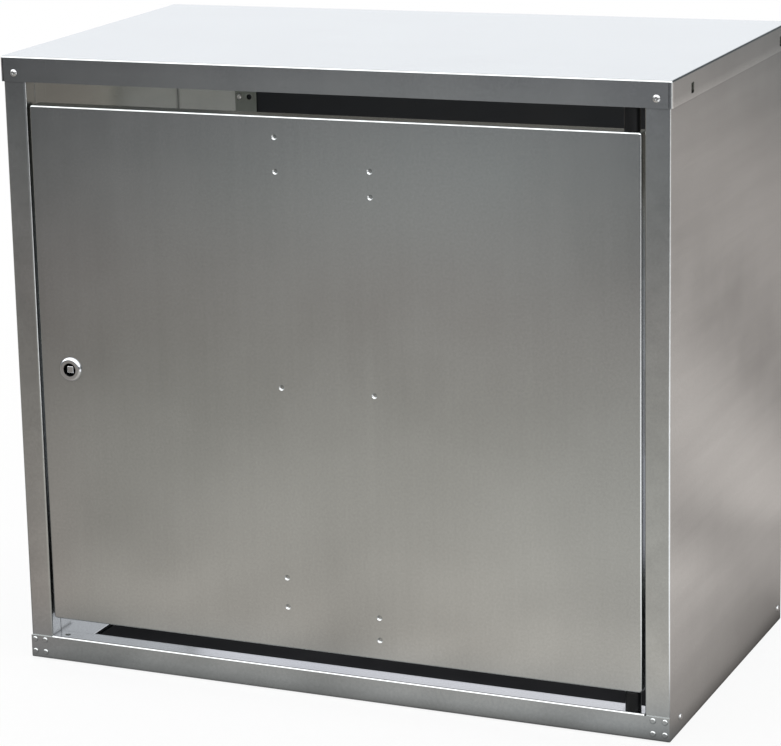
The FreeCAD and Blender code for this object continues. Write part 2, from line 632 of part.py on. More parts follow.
def floor_panel():
    """Floor sheet with a sunk tray, folded down at both sides to stand on the side panels."""
    body = new_body("floor_panel")
    rim = box_outline("-back_half", "floor_front", "back_half", "floor_rear")
    tray = box_outline("recess_left", "floor_front", "recess_right", "recess_rear")
    inner_ends = ("recess_left + sheet", "recess_right - sheet")
    hollow = box_outline(inner_ends[0], "floor_front + sheet", inner_ends[1], "recess_rear - sheet")
    pad(body, "Rim", "XY", "rail_height - sheet", "sheet", rim)
    pad(body, "Tray", "XY", "recess_floor - sheet", "recess_depth", tray)
    cut(body, "Hollow", "XY", "recess_floor", "recess_depth", hollow)
    for name, side in both_sides:
        low, high = span(side, "back_half - sheet", "back_half")
        skirt = box_outline(low, "floor_front", high, "floor_rear")
        pad(body, f"{name}Skirt", "XY", "sheet", "rail_height - 2 * sheet", skirt)
        drill(body, f"{name}RivetHoles", "YZ", low, "sheet", "rivet_shank + running_fit", base_rivets)
    folds = [{"x": x, "z": "rail_height"} for x in inner_ends]
    round_edges(body, "TrayFolds", "sheet * 0.8", *folds)


def floor_mat():
    """Rubber mat that lies in the floor tray under the cylinders."""
    body = new_body("floor_mat")
    outline = box_outline("mat_left", "mat_front", "mat_right", "mat_rear")
    pad(body, "Mat", "XY", "recess_floor", "mat_thickness", outline)
    corners = [{"x": x, "y": y} for x, y in outline]
    round_edges(body, "Corners", "mat_corner", *corners)
    round_edges(body, "TopEdge", "mat_thickness * 0.2", {"z": "recess_floor + mat_thickness"})


def door_panel():
    """Door skin folded back on all four edges, with lips along the upright ones."""
    body = new_body("door_panel")
    outline = box_outline("-door_half", "door_low", "door_half", "door_high")
    inside = box_outline("-(door_half - sheet)", "door_low + sheet", "door_half - sheet", "door_high - sheet")
    lip = "door_half - door_lip"
    mouth = box_outline(f"-({lip})", "door_low + sheet", lip, "door_high - sheet")
    pad(body, "Skin", "XZ", "front", "door_fold", outline)
    cut(body, "Mouth", "XZ", "door_rear - sheet", "sheet", mouth)
    cut(body, "Hollow", "XZ", "door_skin", "door_fold - 2 * sheet", inside)
    uprights = [{"x": f"{i} * door_half", "z": z} for i in (-1, 1) for z in ("door_low", "door_high")]
    round_edges(body, "Corners", "corner_radius", *uprights)
    round_edges(body, "Folds", "bend_radius", {"y": "front"})
    pad_round(body, "JointPlugs", "XZ", "door_skin", "dimple_plug_length", "dimple_plug", door_joints)
    drill(body, "Dimples", "XZ", "front", "dimple_depth", "dimple_floor", door_joints)
    rims = [{"x": f"{x} + dimple_floor", "y": "front", "z": z} for x, z in door_joints]
    bevel_edges(body, "DimpleFlares", "dimple_flare", *rims)
    lock_place = [("lock_x", "door_middle")]
    drill(body, "LockHole", "XZ", "front", "sheet", "lock_body_radius + running_fit", lock_place)
    pivot = pivots[1:]
    drill(body, "TopPivotHole", "XY", "door_high - sheet", "sheet", "bolt_radius + loose_fit", pivot)
    drill(body, "LowPivotHole", "XY", "door_low", "sheet", "bolt_radius + loose_fit", pivot)


def door_stiffener():
    """Hat section up the middle of the door, press-joined to its skin through both feet."""
    body = new_body("door_stiffener")
    foot = "stiffener_joint_x + stiffener_flange / 2"
    web = "stiffener_joint_x - stiffener_flange / 2"
    half = [
        (foot, "door_skin"),
        (foot, "door_skin + sheet"),
        (web, "door_skin + sheet"),
        (web, "door_skin + stiffener_depth"),
    ]
    inner = [(f"{web} - sheet", "door_skin + stiffener_depth - sheet"), (f"{web} - sheet", "door_skin")]
    plan = half + mirrored(half, -1)[::-1] + mirrored(inner, -1)[::-1] + inner
    low = "door_low + sheet + stiffener_end_gap"
    high = "door_high - sheet - stiffener_end_gap"
    pad(body, "Hat", "XY", low, f"{high} - ({low})", plan)
    foot_rear = "door_skin + sheet"
    pad_round(body, "Buttons", "XZ", foot_rear, "dimple_button_rise", "dimple_button", door_joints)
    round_edges(body, "ButtonEdges", "dimple_button_rise * 0.8", {"y": f"{foot_rear} + dimple_button_rise"})
    seat_depth = "dimple_plug_length + running_fit"
    drill(body, "JointSeats", "XZ", "door_skin", seat_depth, "dimple_plug + running_fit", door_joints)


def pivot_plate(name, low):
    """Plate inside a fold of the door that turns on the hinge bolt."""
    body = new_body(f"{name}_pivot_plate")
    right = "door_half - sheet"
    left = f"{right} - pivot_plate_length"
    outline = box_outline(left, "door_skin", right, "door_rear - sheet - joint_gap")
    pad(body, "Plate", "XY", low, "pivot_plate", outline)
    drill(body, "Bore", "XY", low, "pivot_plate", "bolt_radius + running_fit", pivots[1:])


def hinge_bolt(name, head_low, shank_low, shank_length):
    body = new_body(f"{name}_hinge_bolt")
    pad(body, "Head", "XY", head_low, "bolt_head_height", hexagon("hinge_x", "hinge_y", "hex_radius"))
    pad_round(body, "Shank", "XY", shank_low, shank_length, "bolt_radius", pivots[1:])


def hinge_bush(name, low, length):
    """Black spacer round the hinge bolt that keeps the door off its rail."""
    body = new_body(f"{name}_hinge_bush")
    pad_round(body, "Sleeve", "XY", low, length, "bush_radius", pivots[1:])
    round_edges(body, "Ends", "bush_edge", {"z": low}, {"z": f"{low} + {length}"})
    drill(body, "Bore", "XY", low, length, "bolt_radius + running_fit", pivots[1:])


def hinge_set():
    """Bolts, bushes, washers and nuts of the two door pivots."""
    stack = "turning_gap + washer_thickness + nut_height"
    top_end = f"pivot_top - ({stack} + bolt_tail)"
    low_end = f"pivot_bottom + {stack} + bolt_tail"
    hinge_bolt("top", "fascia_low + sheet", top_end, f"fascia_low + sheet - ({top_end})")
    low_head = "rail_height - sheet - bolt_head_height"
    hinge_bolt("bottom", low_head, "rail_height - sheet", f"{low_end} - (rail_height - sheet)")
    hinge_bush("top", "door_high + turning_gap", "door_top_gap - turning_gap")
    hinge_bush("bottom", "rail_height", "door_bottom_gap - turning_gap")
    washer = new_body("washer_shape", is_node=False)
    pad_round(washer, "Disc", "XY", "0", "washer_thickness", "washer_radius", [("0", "0")])
    drill(washer, "Bore", "XY", "0", "washer_thickness", "bolt_radius + running_fit", [("0", "0")])
    nut = new_body("nut_shape", is_node=False)
    pad(nut, "Hex", "XY", "0", "nut_height", hexagon("0", "0", "hex_radius"))
    drill(nut, "Bore", "XY", "0", "nut_height", "bolt_radius + running_fit", [("0", "0")])
    under_top = "pivot_top - turning_gap - washer_thickness"
    over_bottom = "pivot_bottom + turning_gap"
    group("hinge_washers", washer, [("hinge_x", "hinge_y", z) for z in (under_top, over_bottom)])
    nut_levels = (f"{under_top} - nut_height", f"{over_bottom} + washer_thickness")
    group("hinge_nuts", nut, [("hinge_x", "hinge_y", z) for z in nut_levels])


def lock_set():
    """Cam lock: housing and nut on the door, and the plug, cam and screw that turn in it."""
    axis = [("lock_x", "door_middle")]
    housing = new_body("lock_housing")
    ring_front = "front - lock_flange_rise"
    pad_round(housing, "Ring", "XZ", ring_front, "lock_flange_rise", "lock_flange_radius", axis)
    round_edges(housing, "RingEdge", "lock_flange_edge", {"y": ring_front})
    pad_round(housing, "Barrel", "XZ", "front", "lock_body_length", "lock_body_radius", axis)
    full_length = "lock_flange_rise + lock_body_length"
    drill(housing, "Bore", "XZ", ring_front, full_length, "plug_radius + running_fit", axis)
    nut = new_body("lock_nut")
    corner = "(lock_nut_flats / 2 / cos(30))"
    pad(nut, "Hex", "XZ", "door_skin", "lock_nut_height", hexagon("lock_x", "door_middle", corner))
    drill(nut, "Bore", "XZ", "door_skin", "lock_nut_height", "lock_body_radius + running_fit", axis)
    plug = new_body("lock_plug")
    plug_front = f"{ring_front} + plug_recess"
    pad_round(plug, "Plug", "XZ", plug_front, f"cam_front - ({plug_front})", "plug_radius", axis)
    key_front = f"{ring_front} + key_square_drop"
    half_key = "key_square / 2"
    key_square = box_outline(
        f"lock_x - {half_key}", f"door_middle - {half_key}",
        f"lock_x + {half_key}", f"door_middle + {half_key}",
    )
    pad(plug, "KeySquare", "XZ", key_front, "plug_recess - key_square_drop", key_square)
    round_edges(plug, "KeySquareEnd", "key_square * 0.08", {"y": key_front})
    half_tenon = "tenon_size / 2"
    tenon = box_outline(
        f"lock_x - {half_tenon}", f"door_middle - {half_tenon}",
        f"lock_x + {half_tenon}", f"door_middle + {half_tenon}",
    )
    pad(plug, "Tenon", "XZ", "cam_front", "cam_thickness", tenon)
    screw_front = "cam_rear - cam_screw_length"
    drill(plug, "ScrewHole", "XZ", screw_front, "cam_screw_length", "cam_screw_shank + running_fit", axis)
    cam = new_body("lock_cam")
    arm = box_outline(
        "lock_x - cam_width / 2", "door_middle - cam_reach",
        "lock_x + cam_width / 2", "door_middle + cam_width / 2",
    )
    pad(cam, "Arm", "XZ", "cam_front", "cam_thickness", arm)
    ends = [{"x": f"lock_x + {i} * cam_width / 2", "z": z} for i in (-1, 1) for z in (arm[0][1], arm[2][1])]
    round_edges(cam, "Ends", "cam_width * 0.3", *ends)
    half_hole = "(tenon_size / 2 + running_fit)"
    hole = box_outline(
        f"lock_x - {half_hole}", f"door_middle - {half_hole}",
        f"lock_x + {half_hole}", f"door_middle + {half_hole}",
    )
    cut(cam, "SquareHole", "XZ", "cam_front", "cam_thickness", hole)
    screw = new_body("cam_screw")
    pad_round(screw, "Head", "XZ", "cam_rear", "cam_screw_rise", "cam_screw_head", axis)
    round_edges(screw, "Dome", "cam_screw_rise * 0.6", {"y": "cam_rear + cam_screw_rise"})
    pad_round(screw, "Shank", "XZ", screw_front, "cam_screw_length", "cam_screw_shank", axis)


def blind_rivet(name, grip):
    """Hollow rivet with its head on +Z: grip is the sheet that it holds."""
    body = new_body(name, is_node=False)
    revolve(body, "Turned", [
        ("0", "rivet_rise - rivet_pit_depth"),
        ("rivet_pit", "rivet_rise - rivet_pit_depth"),
        ("rivet_pit", "rivet_rise"),
        ("rivet_head * 0.55", "rivet_rise"),
        ("rivet_head * 0.88", "rivet_rise * 0.6"),
        ("rivet_head", "0"),
        ("rivet_shank", "0"),
        ("rivet_shank", f"-({grip})"),
        ("rivet_tail", f"-({grip})"),
        ("rivet_tail", f"-({grip} + rivet_tail_length)"),
        ("0", f"-({grip} + rivet_tail_length)"),
    ])
    return body


def rivet_groups():
    roof_front = blind_rivet("roof_rivet_shape", "2 * sheet + roof_fit")
    roof_rear = blind_rivet("roof_rear_rivet_shape", "3 * sheet + roof_fit")
    sides = (-1, 1)
    front_places = [(x, "-roof_half_depth", z, faces_front) for x, z in fascia_rivets]
    group("roof_front_rivets", roof_front, front_places)
    rear_places = [(f"{i} * back_rivet_x", "roof_half_depth", "fascia_rivet_z", faces_back) for i in sides]
    group("roof_rear_rivets", roof_rear, rear_places)
    base = blind_rivet("base_rivet_shape", "2 * sheet + joint_gap")
    turns = {-1: faces_left, 1: faces_right}
    base_places = [(f"{i} * half_width", y, z, turns[i]) for i in sides for y, z in base_rivets]
    group("base_rivets", base, base_places)
    pair = blind_rivet("back_rivet_shape", "2 * sheet")
    back_ends = [f"{i} * back_rivet_x" for i in sides]
    back_places = [(x, "half_depth", z, faces_back) for x in back_ends for z in back_rivet_heights]
    group("back_rivets", pair, back_places)
    header_x = "(opening_half - sheet)"
    header_turns = {-1: faces_right, 1: faces_left}
    header_middle = ("header_rivet_y", "header_rivet_z")
    header_places = [(f"{i} * {header_x}", *header_middle, header_turns[i]) for i in sides]
    group("header_rivets", pair, header_places)
    triple = blind_rivet("strip_rivet_shape", "3 * sheet")
    strip_places = [(x, "back_inside - sheet", z, faces_front) for x, z in strip_rivets]
    group("strip_rivets", triple, strip_places)


for name, side in both_sides:
    side_panel(name, side)
    post_channel(name, side)
    opening_strip(name, side)
back_panel()
service_cover()
hose_grommet()
roof_cover()
header_rail()
base_front_rail()
floor_panel()
floor_mat()
door_panel()
door_stiffener()
pivot_plate("top", "pivot_top")
pivot_plate("bottom", "door_low + sheet")
hinge_set()
lock_set()
rivet_groups()
doc.recompute()

# Nothing is written unless every object of the document is sound.
for item in doc.Objects:
    if "Invalid" in item.State or "Error" in item.State:
        raise RuntimeError(f"{item.Label} failed to build: {item.State}")
for label, item in nodes.items():
    if item.Shape.isNull() or not item.Shape.isValid() or not item.Shape.Solids:
        raise RuntimeError(f"{label} has no sound shape")

os.makedirs("parts", exist_ok=True)
for label, item in nodes.items():
    item.Shape.exportStep(f"parts/{label}.step")
    box = item.Shape.BoundBox
    solids = len(item.Shape.Solids)
    print(f"{label}: {solids} solid(s), {box.XLength:.1f} x {box.YLength:.1f} x {box.ZLength:.1f} mm")
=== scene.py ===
import json
import math
import bpy
from mathutils import Matrix, Vector


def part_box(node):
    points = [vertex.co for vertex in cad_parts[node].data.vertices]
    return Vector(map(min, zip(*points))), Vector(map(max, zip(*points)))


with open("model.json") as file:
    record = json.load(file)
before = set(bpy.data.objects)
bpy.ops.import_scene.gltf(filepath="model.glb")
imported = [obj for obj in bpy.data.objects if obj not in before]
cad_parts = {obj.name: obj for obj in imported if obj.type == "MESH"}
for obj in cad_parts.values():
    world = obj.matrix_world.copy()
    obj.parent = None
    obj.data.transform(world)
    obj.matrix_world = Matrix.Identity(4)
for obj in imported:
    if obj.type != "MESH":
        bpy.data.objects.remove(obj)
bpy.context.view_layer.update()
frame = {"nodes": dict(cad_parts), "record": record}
nodes = frame["nodes"]


# sRGB hex to the linear colour that a shader takes
def linear(code):
    parts = [int(code[i:i + 2], 16) / 255 for i in (1, 3, 5)]
    return [c / 12.92 if c <= 0.04045 else ((c + 0.055) / 1.055) ** 2.4 for c in parts] + [1.0]


# one shader node: its settings, and its inputs as values or as the sockets that feed them
def add(tree, kind, inputs=None, **settings):
    made = tree.nodes.new("ShaderNode" + kind)
    for key, value in settings.items():
        setattr(made, key, value)
    for key, value in (inputs or {}).items():
        if isinstance(value, bpy.types.NodeSocket):
            tree.links.new(value, made.inputs[key])
        else:
            made.inputs[key].default_value = value
    return made


def newMaterial(name):
    made = bpy.data.materials.new(name)
    made.use_nodes = True
    made.node_tree.nodes.clear()
    return made, made.node_tree


# colour ramp over a socket's 0 to 1: each stop is a place, a level and a tint
def ramp(tree, source, stops):
    made = add(tree, "ValToRGB", {"Fac": source})
    line = made.color_ramp
    while len(line.elements) < len(stops):
        line.elements.new(0.5)
    for element, (at, value, tint) in zip(line.elements, stops):
        element.position = at
        element.color = (value * tint[0], value * tint[1], value * tint[2], 1)
    return made.outputs["Color"]


# noise from 0 to 1 whose blotches are about size metres wide, or longer along one axis
def noise(tree, coords, size, detail=2.0, stretch=(1, 1, 1)):
    scale = add(tree, "Mapping", {"Vector": coords, "Scale": [1 / (size * s) for s in stretch]})
    made = add(tree, "TexNoise", {
        "Vector": scale.outputs[0], "Scale": 1.0, "Detail": detail, "Roughness": 0.5})
    return made.outputs["Fac"]


# the middle part of a noise, 0.3 to 0.7, stretched to run from low to high
def span(tree, source, low, high):
    made = add(tree, "MapRange", {
        "Value": source, "From Min": 0.3, "From Max": 0.7, "To Min": low, "To Max": high})
    return made.outputs["Result"]


def product(tree, first, second):
    return add(tree, "Math", {0: first, 1: second}, operation="MULTIPLY").outputs[0]


def finishMaterial(tree, shader):
    out = add(tree, "OutputMaterial")
    tree.links.new(shader.outputs[0], out.inputs["Surface"])


# bright galvanised sheet: a smooth metal whose zinc gives faint clouds, rolling streaks and a fine grain,
# whose slight waviness bends the soft reflections, with painted shade in its corners and, where asked, a
# painted highlight along a lower edge; grain is drawn at 2.5 mm, coarser than real, so that it shows at all;
# sizes are in metres, lengths are multiples of the width, tones are how far a mark lightens and darkens the
# sheet, and creviceLight is what the painted corner shade leaves of the colour
sheet = {
    "colour": "#cccfce", "rough": 0.20, "cloud": 0.09, "cloudTone": 0.04, "grain": 0.0025, "grainTone": 0.03,
    "streak": 0.009, "streakTone": 0.01, "streakLength": 60.0, "band": 0.03, "bandLength": 15.0,
    "wave": 0.26, "waveHeight": 0.0006, "grainHeight": 0.00002, "crevice": 0.006, "creviceLight": 0.6,
}


def sheetMaterial(name, along, edgeHighlight=None, shade=sheet["colour"], bands=0.008):
    made, tree = newMaterial(name)
    place = add(tree, "TexCoord").outputs["Object"]
    # each piece shows its own patch of the pattern
    chance = add(tree, "ObjectInfo").outputs["Random"]
    shift = add(tree, "VectorMath", {0: chance, 1: (7.0, 5.0, 3.0)}, operation="MULTIPLY")
    coords = add(tree, "VectorMath", {0: place, 1: shift.outputs[0]}, operation="ADD").outputs[0]
    streakWay = [sheet["streakLength"] if axis == along else 1.0 for axis in "XYZ"]
    bandWay = [sheet["bandLength"] if axis == along else 1.0 for axis in "XYZ"]
    cloud = noise(tree, coords, sheet["cloud"], 3.0)
    grain = noise(tree, coords, sheet["grain"], 1.0)
    streak = noise(tree, coords, sheet["streak"], 1.0, streakWay)
    band = noise(tree, coords, sheet["band"], 2.0, bandWay)
    tone = span(tree, cloud, 1 - sheet["cloudTone"], 1 + sheet["cloudTone"])
    for mark, swing in ((streak, sheet["streakTone"]), (grain, sheet["grainTone"]), (band, bands)):
        tone = product(tree, tone, span(tree, mark, 1 - swing, 1 + swing))
    # painted shade: the sheet darker in the corners and along laps, within sheet["crevice"] of the next sheet,
    # where shadow falls
    paintedCornerShade = add(tree, "AmbientOcclusion", {"Distance": sheet["crevice"]}, samples=8).outputs["AO"]
    paintedCornerShade = add(tree, "MapRange", {
        "Value": paintedCornerShade, "From Min": 0.4, "From Max": 0.9, "To Min": sheet["creviceLight"], "To Max": 1.0})
    tone = product(tree, tone, paintedCornerShade.outputs[0])
    if edgeHighlight:  # painted highlight: lighter along the cut lower edge of the side folds
        axes = add(tree, "SeparateXYZ", {0: place})
        near = add(tree, "MapRange", {
            "Value": axes.outputs["Z"], "From Min": edgeHighlight["low"], "From Max": edgeHighlight["low"] + edgeHighlight["tall"],
            "To Min": edgeHighlight["gain"], "To Max": 1.0})
        side = add(tree, "Math", {0: axes.outputs["X"]}, operation="ABSOLUTE")
        side = add(tree, "Math", {0: side.outputs[0], 1: edgeHighlight["side"]}, operation="GREATER_THAN")
        gain = add(tree, "Mix", {
            "Factor": side.outputs[0], "A": 1.0, "B": near.outputs[0]}, data_type="FLOAT")
        tone = product(tree, tone, gain.outputs["Result"])
    colour = add(tree, "VectorMath", {0: linear(shade)[:3], "Scale": tone}, operation="SCALE")
    rough = span(tree, cloud, sheet["rough"] * 0.9, sheet["rough"] * 1.1)
    rough = product(tree, rough, span(tree, streak, 0.98, 1.02))
    wave = noise(tree, coords, sheet["wave"], 0.0)
    bump = add(tree, "Bump", {"Height": wave, "Strength": 1.0, "Distance": sheet["waveHeight"]})
    fine = add(tree, "Bump", {
        "Height": grain, "Strength": 0.1, "Distance": sheet["grainHeight"], "Normal": bump.outputs[0]})
    shader = add(tree, "BsdfPrincipled", {
        "Base Color": colour.outputs[0], "Metallic": 1.0, "Roughness": rough, "Normal": fine.outputs[0]})
    finishMaterial(tree, shader)
    return made


galvanisedSheet = sheetMaterial("galvanisedSheet", "Z")
galvanisedLid = sheetMaterial("galvanisedLid", "X")
galvanisedSide = sheetMaterial("galvanisedSide", "Y", bands=0.05)  # rolled front to back
roofLow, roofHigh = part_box("roof_cover")
# painted highlight along the lower edge of the roof's side folds, gain times lighter at the edge
roofEdgeHighlight = {"low": roofLow[2], "tall": 0.009, "gain": 1.35, "side": roofHigh[0] - 0.0004}
galvanisedRoof = sheetMaterial("galvanisedRoof", "X", roofEdgeHighlight)
# opening strips in a darker sheet colour than the wall behind them: painted shade
paintedShadeZinc = sheetMaterial("paintedShadeZinc", "Z", shade="#8b908c")

# drawn aluminium of the rivets: brighter and a little whiter than the sheet, with fine flecks
drawnAluminium, tree = newMaterial("drawnAluminium")
coords = add(tree, "TexCoord").outputs["Object"]
fleck = noise(tree, coords, 0.0012, 2.0)
shader = add(tree, "BsdfPrincipled", {
    "Base Color": linear("#dcdddc"), "Metallic": 1.0, "Roughness": span(tree, fleck, 0.2, 0.32)})
finishMaterial(tree, shader)

# zinc-plated steel of bolts, nuts and cam: a bluish metal with a soft mottle
zincPlatedSteel, tree = newMaterial("zincPlatedSteel")
coords = add(tree, "TexCoord").outputs["Object"]
mottle = noise(tree, coords, 0.004, 3.0)
tint = add(tree, "Mix", {
    "Factor": mottle, "A": linear("#b7bcc2"), "B": linear("#c8c9c4")}, data_type="RGBA")
shader = add(tree, "BsdfPrincipled", {
    "Base Color": tint.outputs["Result"], "Metallic": 1.0, "Roughness": span(tree, mottle, 0.25, 0.4)})
finishMaterial(tree, shader)


# black plastics, rubber and paint: dark, with a little tone variation and their own surface texture
def blackMaterial(name, colour, rough, size, height, detail, gloss):
    made, tree = newMaterial(name)
    coords = add(tree, "TexCoord").outputs["Object"]
    texture = noise(tree, coords, size, detail)
    cloud = noise(tree, coords, 0.06, 2.0)
    tone = span(tree, cloud, 0.92, 1.08)
    tone = add(tree, "VectorMath", {0: linear(colour)[:3], "Scale": tone}, operation="SCALE")
    bump = add(tree, "Bump", {"Height": texture, "Strength": 0.6, "Distance": height})
    shader = add(tree, "BsdfPrincipled", {
        "Base Color": tone.outputs[0], "Roughness": span(tree, cloud, rough - 0.05, rough + 0.05),
        "Specular IOR Level": gloss, "Normal": bump.outputs[0]})
    finishMaterial(tree, shader)
    return made


# moulded nylon with a faint sparkle of grain, powder coat with orange peel, and matt, slightly rough rubber
blackNylon = blackMaterial("blackNylon", "#0e0f10", 0.4, 0.0015, 0.00004, 2.0, 0.25)
blackPowderCoat = blackMaterial("blackPowderCoat", "#363b42", 0.5, 0.003, 0.00008, 1.0, 0.5)
blackRubber = blackMaterial("blackRubber", "#17191b", 0.85, 0.002, 0.00006, 3.0, 0.3)

# chrome of the lock: a mirror with fine handling marks, and painted shade deep in the key recess, where it
# turns dark and rough
lock = {"chrome": "#dfe1e3", "paintedRecessShade": "#16171a", "shadeStart": 0.0022, "dark": 0.0042, "margin": 0.0003}
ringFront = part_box("lock_housing")[0][1]
plugLow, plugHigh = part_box("lock_plug")
lockChrome, tree = newMaterial("lockChrome")
coords = add(tree, "TexCoord").outputs["Object"]
axes = add(tree, "SeparateXYZ", {0: coords})
centre = ((plugLow[0] + plugHigh[0]) / 2, 0.0, (plugLow[2] + plugHigh[2]) / 2)
radial = add(tree, "VectorMath", {0: coords, 1: centre}, operation="SUBTRACT").outputs[0]
radial = add(tree, "VectorMath", {0: radial, 1: (1.0, 0.0, 1.0)}, operation="MULTIPLY").outputs[0]
radial = add(tree, "VectorMath", {0: radial}, operation="LENGTH").outputs["Value"]
boreRadius = plugHigh[0] - centre[0] + lock["margin"]
inBore = add(tree, "Math", {0: radial, 1: boreRadius}, operation="LESS_THAN").outputs[0]
depth = add(tree, "MapRange", {
    "Value": axes.outputs["Y"], "From Min": ringFront + lock["shadeStart"],
    "From Max": ringFront + lock["dark"]}).outputs[0]
# painted shade: darker with depth inside the bore
paintedRecessShade = product(tree, inBore, depth)
marks = noise(tree, coords, 0.002, 3.0, (1, 1, 6))
tint = add(tree, "Mix", {
    "Factor": paintedRecessShade, "A": linear(lock["chrome"]), "B": linear(lock["paintedRecessShade"])}, data_type="RGBA")
rough = span(tree, marks, 0.1, 0.2)
rough = add(tree, "Mix", {"Factor": paintedRecessShade, "A": rough, "B": 0.55}, data_type="FLOAT")
shader = add(tree, "BsdfPrincipled", {
    "Base Color": tint.outputs["Result"], "Metallic": 1.0, "Roughness": rough.outputs["Result"]})
finishMaterial(tree, shader)

finishes = {
    "galvanised_sheet": galvanisedSheet,
    "rivet_aluminium": drawnAluminium,
    "plated_steel": zincPlatedSteel,
    "black_nylon": blackNylon,
    "black_coated_sheet": blackPowderCoat,
    "black_rubber": blackRubber,
    "lock_chrome": lockChrome,
}
slotOf = {part["node"]: part["material_slot"] for part in frame["record"]["subparts"]}
for name, thing in nodes.items():
    thing.data.materials.clear()
    thing.data.materials.append(finishes[slotOf[name]])
ownFinishes = {
    "floor_panel": galvanisedLid, "header_rail": galvanisedLid, "base_front_rail": galvanisedLid,
    "left_side_panel": galvanisedSide, "right_side_panel": galvanisedSide, "roof_cover": galvanisedRoof,
    "left_opening_strip": paintedShadeZinc, "right_opening_strip": paintedShadeZinc,
}
for name, finish in ownFinishes.items():
    nodes[name].data.materials[0] = finish
print("finishes on", len(nodes), "nodes")

# camera solved from the photograph's edges: focal length and principal point in pixels of the picture, angles
# in radians, place in metres and the sensor in millimetres
shot = {
    "place": (1.18291, -2.83869, 1.08477), "yaw": -0.4679, "pitch": -0.2412, "roll": -0.0377,
    "focal": 3034.17, "centre": (187.23, 344.17), "width": 781, "height": 746, "sensor": 36.0,
}
yaw, pitch, roll = shot["yaw"], shot["pitch"], shot["roll"]
ahead = Vector((math.sin(yaw) * math.cos(pitch), math.cos(yaw) * math.cos(pitch), math.sin(pitch)))
level = Vector((math.cos(yaw), -math.sin(yaw), 0.0))
above = level.cross(ahead)
across = math.cos(roll) * level + math.sin(roll) * above
upward = -math.sin(roll) * level + math.cos(roll) * above
lens = bpy.data.cameras.new("photoCamera")
lens.sensor_fit = "HORIZONTAL"
lens.sensor_width = shot["sensor"]
lens.lens = shot["focal"] * shot["sensor"] / shot["width"]
lens.shift_x = (shot["width"] / 2 - shot["centre"][0]) / shot["width"]
lens.shift_y = (shot["centre"][1] - shot["height"] / 2) / shot["width"]
lens.clip_start = 0.05
lens.clip_end = 100.0
camera = bpy.data.objects.new("photoCamera", lens)
bpy.context.collection.objects.link(camera)
turn = Matrix((across, upward, -ahead)).transposed()
camera.matrix_world = Matrix.Translation(shot["place"]) @ turn.to_4x4()
bpy.context.scene.camera = camera

# floor: white to the camera with a weak shadow; to reflections a grey terrace that is lightest near the door
# and has one light band to the right of the cabinet, as the photograph's soft reflections show
ground = {
    "half": 9.0, "level": -0.0004, "depth": 4.0, "left": -0.45, "right": 0.35, "lean": -0.16, "leftLoss": 0.22,
    "bandSlope": -0.588, "bandStart": -0.125, "shadow": 0.2,
}
ways = ((-1, -1), (1, -1), (1, 1), (-1, 1))
corner = [(x * ground["half"], y * ground["half"], ground["level"]) for x, y in ways]
floorMesh = bpy.data.meshes.new("floor")
floorMesh.from_pydata(corner, [], [(0, 1, 2, 3)])
floor = bpy.data.objects.new("floor", floorMesh)
bpy.context.collection.objects.link(floor)
floorFinish, tree = newMaterial("whiteFloor")
path = add(tree, "LightPath")
position = add(tree, "NewGeometry").outputs["Position"]
place = add(tree, "SeparateXYZ", {0: position})
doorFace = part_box("door_panel")[0][1]
reach = doorFace - shot["place"][1]  # camera in front of the door
placeX, placeY = place.outputs["X"], place.outputs["Y"]
warm, olive, rosy = (1.075, 1.0, 0.92), (1.045, 1.0, 0.925), (1.12, 1.0, 0.955)
plainGrey, cool, sideWarm = (1.0, 1.0, 1.0), (0.94, 1.0, 1.01), (1.09, 1.0, 0.955)
soft = {"interpolation_type": "SMOOTHSTEP"}
# in front: painted shadow under the rail, light close to it, then darker in steps with the distance from the
# door
away = add(tree, "Math", {0: placeY, 1: -1.0, 2: doorFace}, operation="MULTIPLY_ADD").outputs[0]
distance = add(tree, "Math", {0: away, 1: ground["depth"]}, operation="DIVIDE").outputs[0]
frontTone = ramp(tree, distance, [
    (0.0, 0.17, plainGrey), (0.009, 0.42, plainGrey), (0.045, 0.54, warm), (0.17, 0.50, olive),
    (0.3, 0.345, olive), (0.42, 0.337, rosy), (0.62, 0.40, (0.95, 1.0, 0.99)), (0.8, 0.27, cool),
    (0.89, 0.21, cool), (1.0, 0.13, (1.10, 1.0, 1.24))])
# darker towards the left, measured along the door where the camera sees each place mirrored
fade = add(tree, "Math", {0: away, 1: reach}, operation="ADD").outputs[0]
fade = add(tree, "Math", {0: reach, 1: fade}, operation="DIVIDE").outputs[0]
fromCamera = add(tree, "Math", {0: placeX, 1: -shot["place"][0]}, operation="ADD").outputs[0]
along = add(tree, "Math", {
    0: fromCamera, 1: fade, 2: shot["place"][0]}, operation="MULTIPLY_ADD").outputs[0]
along = add(tree, "Math", {0: distance, 1: ground["lean"], 2: along}, operation="MULTIPLY_ADD").outputs[0]
along = add(tree, "MapRange", {
    "Value": along, "From Min": ground["left"], "From Max": ground["right"]}).outputs[0]
frontSide = ramp(tree, along, [
    (0.0, 0.58, plainGrey), (0.055, 0.50, (1.03, 0.98, 0.99)), (0.125, 0.72, (1.03, 0.98, 0.99)),
    (0.2, 0.76, plainGrey), (0.42, 0.93, plainGrey), (0.7, 1.09, plainGrey), (1.0, 1.06, (0.98, 1.0, 1.02))])
frontValue = add(tree, "VectorMath", {0: frontTone, 1: frontSide}, operation="MULTIPLY").outputs[0]
